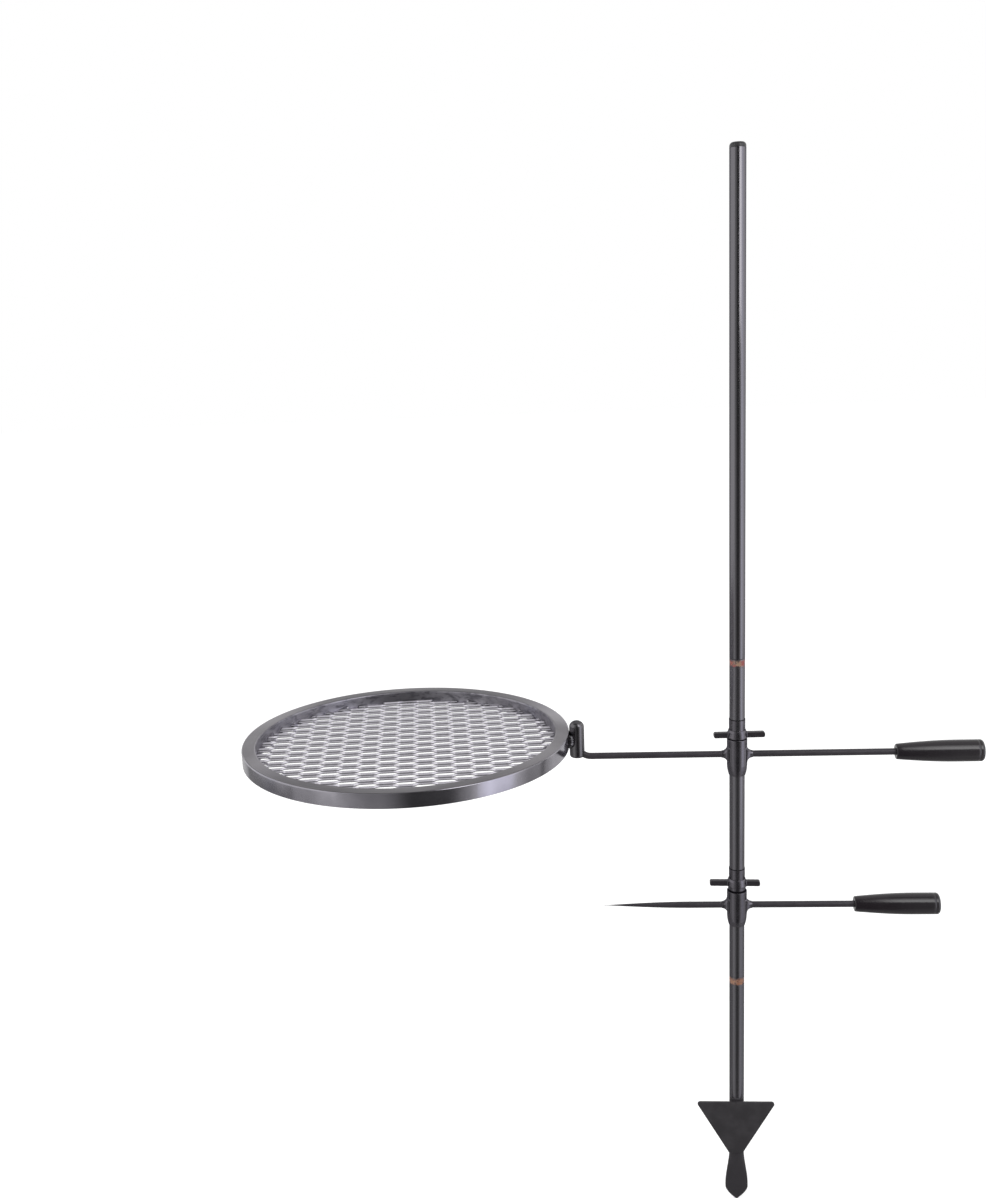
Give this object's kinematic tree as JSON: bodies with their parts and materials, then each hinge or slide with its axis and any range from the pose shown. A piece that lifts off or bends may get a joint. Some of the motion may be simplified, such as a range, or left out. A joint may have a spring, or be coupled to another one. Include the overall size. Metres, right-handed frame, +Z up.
{
  "type": "rotating charcoal grill",
  "caption": "Ground-stake camp grill: a two-piece pole with a round mesh grate and a skewer on swivelling arms that slide, clamp and turn.",
  "frame": {"origin": "pole axis at the ground line, level with the top edge of the foot plate", "axes": "+Z up along the pole, arms along X at rest with the grate towards -X and the grips towards +X, -Y is the front with the foot plate"},
  "size_m": [0.7729, 0.346, 1.142],
  "materials": {
    "pole_paint": "dark gunmetal, satin",
    "plate_paint": "matt black paint",
    "depth_band": "worn orange-brown band",
    "joint_band": "worn red-brown band",
    "bare_steel": "turned",
    "cap_plastic": "satin",
    "clamp_metal": "satin black coat on a casting",
    "rod_paint": "satin black coat",
    "grip_black": "gloss",
    "rim_steel": "dark plated, fine lengthwise brushing",
    "mesh_plated": "bright zinc plate",
    "socket_paint": "satin black paint"
  },
  "bodies": {
    "stake": {"lower_pole": "pole_paint", "foot_plate": "plate_paint", "foot_plate_welds": "plate_paint", "depth_mark": "depth_band", "pole_spigot": "bare_steel", "joint_ring": "joint_band"},
    "top_pole": {"upper_pole": "pole_paint", "pole_cap": "cap_plastic"},
    "upper_clamp": {"upper_collet": "clamp_metal"},
    "grate_arm": {"grate_arm_hub": "clamp_metal", "grate_arm_rod": "rod_paint", "grate_arm_grip_rod": "rod_paint", "grate_arm_grip": "grip_black", "grate_arm_grip_nut": "bare_steel", "grate_arm_grip_cap": "grip_black"},
    "upper_wing": {"upper_wing_collar": "clamp_metal"},
    "grate": {"grate_rim": "rim_steel", "mesh_shelf": "mesh_plated", "grate_mesh": "mesh_plated", "grate_socket": "socket_paint", "socket_welds": "socket_paint"},
    "lower_clamp": {"lower_collet": "clamp_metal"},
    "skewer_arm": {"skewer_arm_hub": "clamp_metal", "skewer": "rod_paint", "skewer_arm_grip_rod": "rod_paint", "skewer_arm_grip": "grip_black", "skewer_arm_grip_nut": "bare_steel", "skewer_arm_grip_cap": "grip_black"},
    "lower_wing": {"lower_wing_collar": "clamp_metal"}
  },
  "joints": [
    {"name": "top_pole_lift", "type": "slide", "parent": "stake", "child": "top_pole", "axis": [0, 0, 1], "range_m": [0, 0.055]},
    {"name": "upper_clamp_slide", "type": "slide", "parent": "stake", "child": "upper_clamp", "axis": [0, 0, 1], "range_m": [-0.05, 0.55]},
    {"name": "grate_arm_swivel", "type": "hinge", "parent": "upper_clamp", "child": "grate_arm", "pos_m": [0, 0, 0.4038], "axis": [0, 0, 1], "continuous": true},
    {"name": "upper_wing_turn", "type": "hinge", "parent": "grate_arm", "child": "upper_wing", "pos_m": [0, 0, 0.4038], "axis": [0, 0, 1], "range_deg": [0, 180]},
    {"name": "grate_lift", "type": "slide", "parent": "grate_arm", "child": "grate", "axis": [0, 0, 1], "range_m": [0, 0.045]},
    {"name": "lower_clamp_slide", "type": "slide", "parent": "stake", "child": "lower_clamp", "axis": [0, 0, 1], "range_m": [-0.2, 0.05]},
    {"name": "skewer_arm_swivel", "type": "hinge", "parent": "lower_clamp", "child": "skewer_arm", "pos_m": [0, 0, 0.2327], "axis": [0, 0, 1], "continuous": true},
    {"name": "lower_wing_turn", "type": "hinge", "parent": "skewer_arm", "child": "lower_wing", "pos_m": [0, 0, 0.2327], "axis": [0, 0, 1], "range_deg": [0, 180]}
  ]
}
